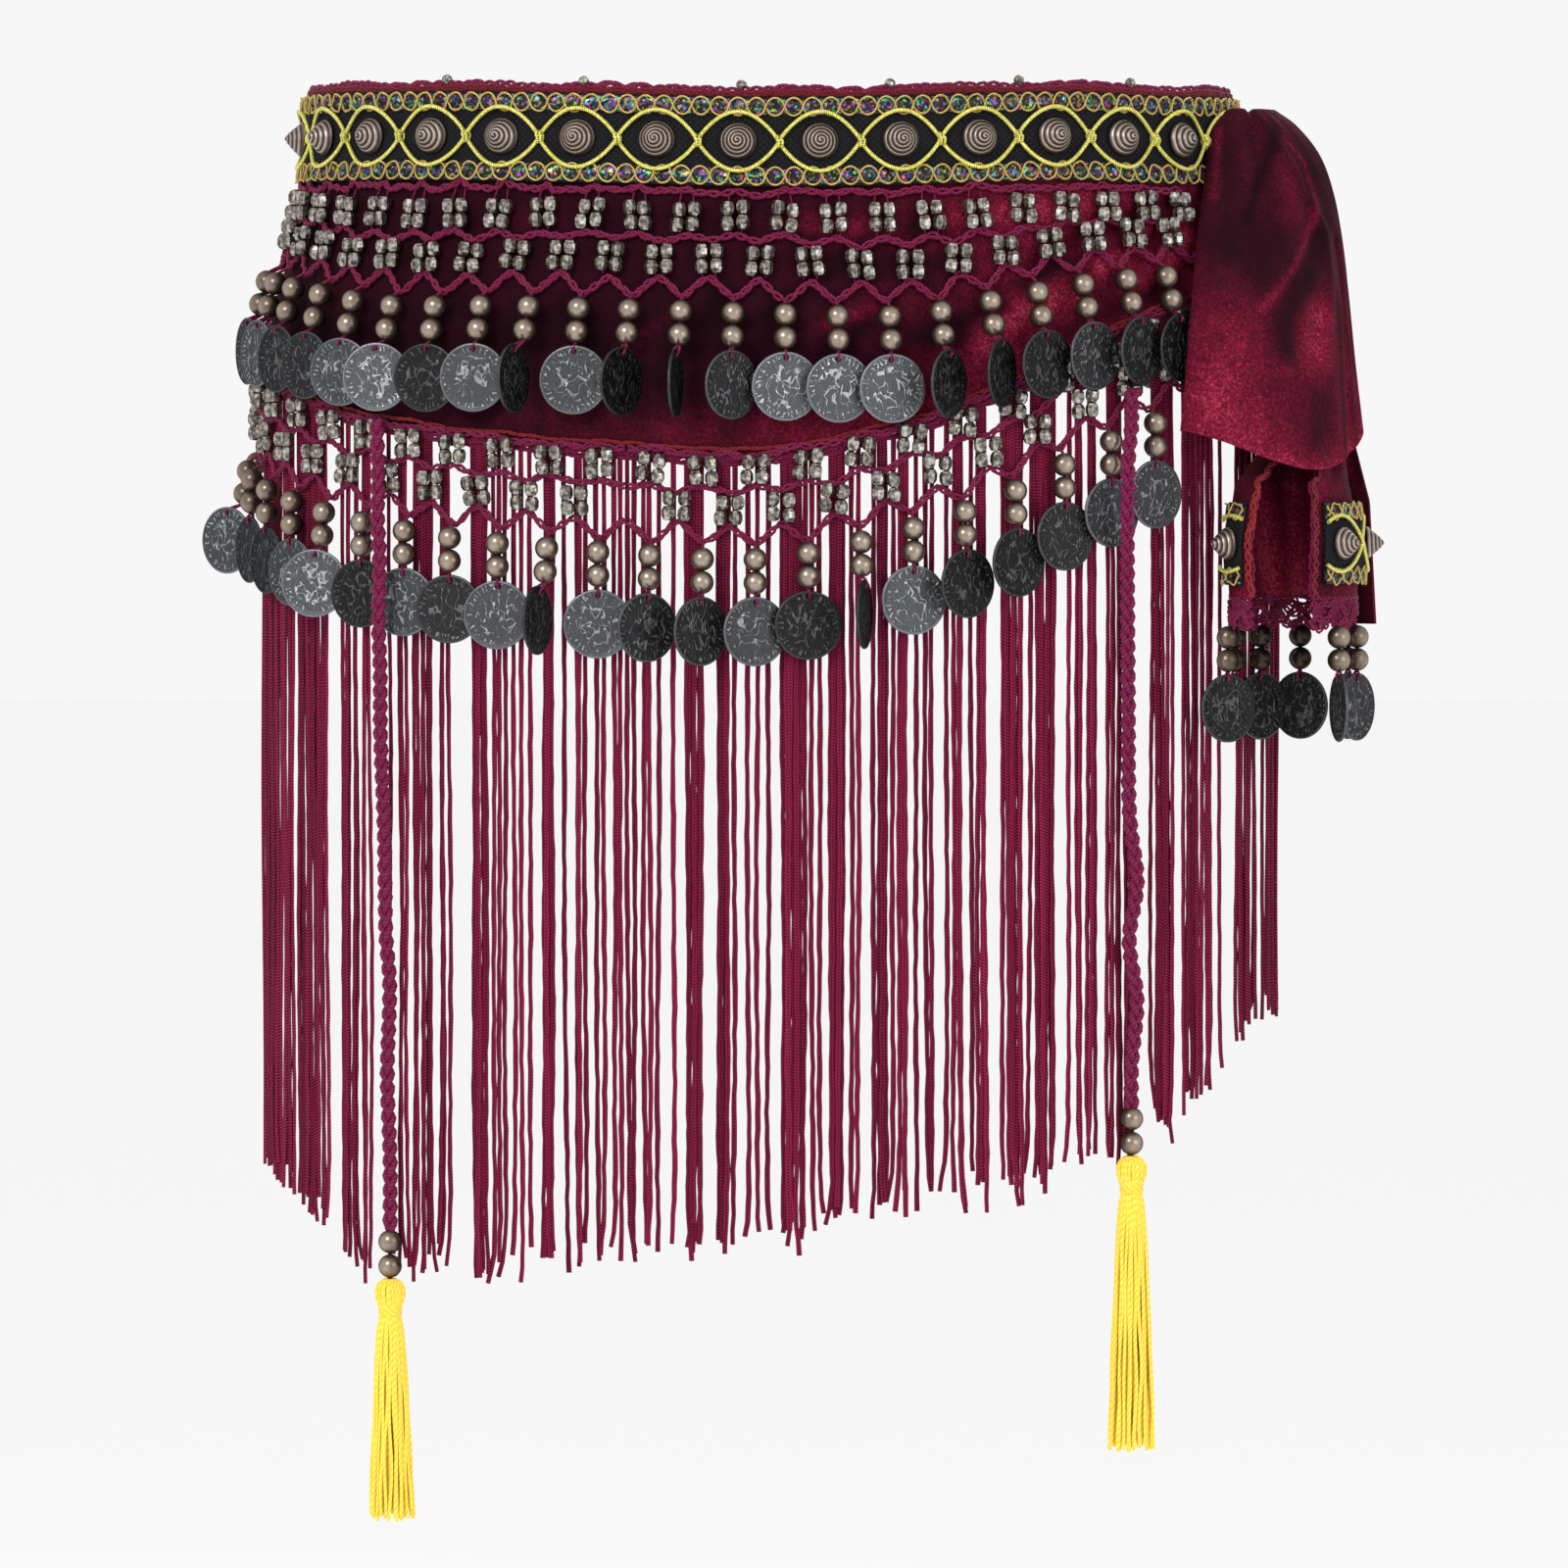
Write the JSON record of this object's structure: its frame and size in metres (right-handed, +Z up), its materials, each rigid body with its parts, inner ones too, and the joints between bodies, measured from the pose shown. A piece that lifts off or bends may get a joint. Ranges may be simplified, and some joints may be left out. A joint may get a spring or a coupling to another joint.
{
  "type": "belly dance hip scarf",
  "caption": "Hollow worn hip scarf tied at one side: velvet band with studded trim, crochet lace with bead and coin danglers, a long front fringe and two tasselled cords.",
  "frame": {"origin": "middle of the wearer's hips, at the height of the trim's side middle", "axes": "+Z up along the wearer, -Y to the wearer's front, +X to the viewer's right, the wearer's left"},
  "size_m": [0.4078, 0.2798, 0.4903],
  "materials": {
    "velvet": "wine red crushed velvet",
    "ribbon": "black ribbon under glitter and gimp cord",
    "yarn": "magenta crochet yarn",
    "chainette": "wine chainette",
    "copper": "antique copper",
    "silk": "yellow viscose thread"
  },
  "bodies": {
    "root": {"velvet_band": "velvet", "knot": "velvet", "knot_flap": "velvet", "tail_tube": "velvet", "tail_back_strip": "velvet", "trim_ribbon": "ribbon", "tail_trim_left": "ribbon", "tail_trim_right": "ribbon", "top_edging": "yarn", "upper_lace_front": "yarn", "upper_lace_back": "yarn", "lower_lace_left": "yarn", "lower_lace_right": "yarn", "tail_lace": "yarn", "fringe": "chainette", "cord_left": "yarn", "cord_right": "yarn", "tassel_left": "silk", "tassel_right": "silk", "stud_00": "copper", "stud_01": "copper", "stud_02": "copper", "stud_03": "copper", "stud_04": "copper", "stud_05": "copper", "stud_06": "copper", "stud_07": "copper", "stud_08": "copper", "stud_09": "copper", "stud_10": "copper", "stud_11": "copper", "stud_12": "copper", "stud_13": "copper", "stud_14": "copper", "stud_15": "copper", "stud_16": "copper", "stud_17": "copper", "stud_18": "copper", "stud_19": "copper", "stud_20": "copper", "stud_21": "copper", "stud_22": "copper", "stud_23": "copper", "stud_24": "copper", "stud_25": "copper", "stud_26": "copper", "stud_27": "copper", "stud_28": "copper", "tail_trim_left_stud_0": "copper", "tail_trim_right_stud_0": "copper", "tail_trim_right_stud_1": "copper", "cord_left_bead_0": "copper", "cord_left_bead_1": "copper", "cord_right_bead_0": "copper", "cord_right_bead_1": "copper"}
  },
  "joints": []
}
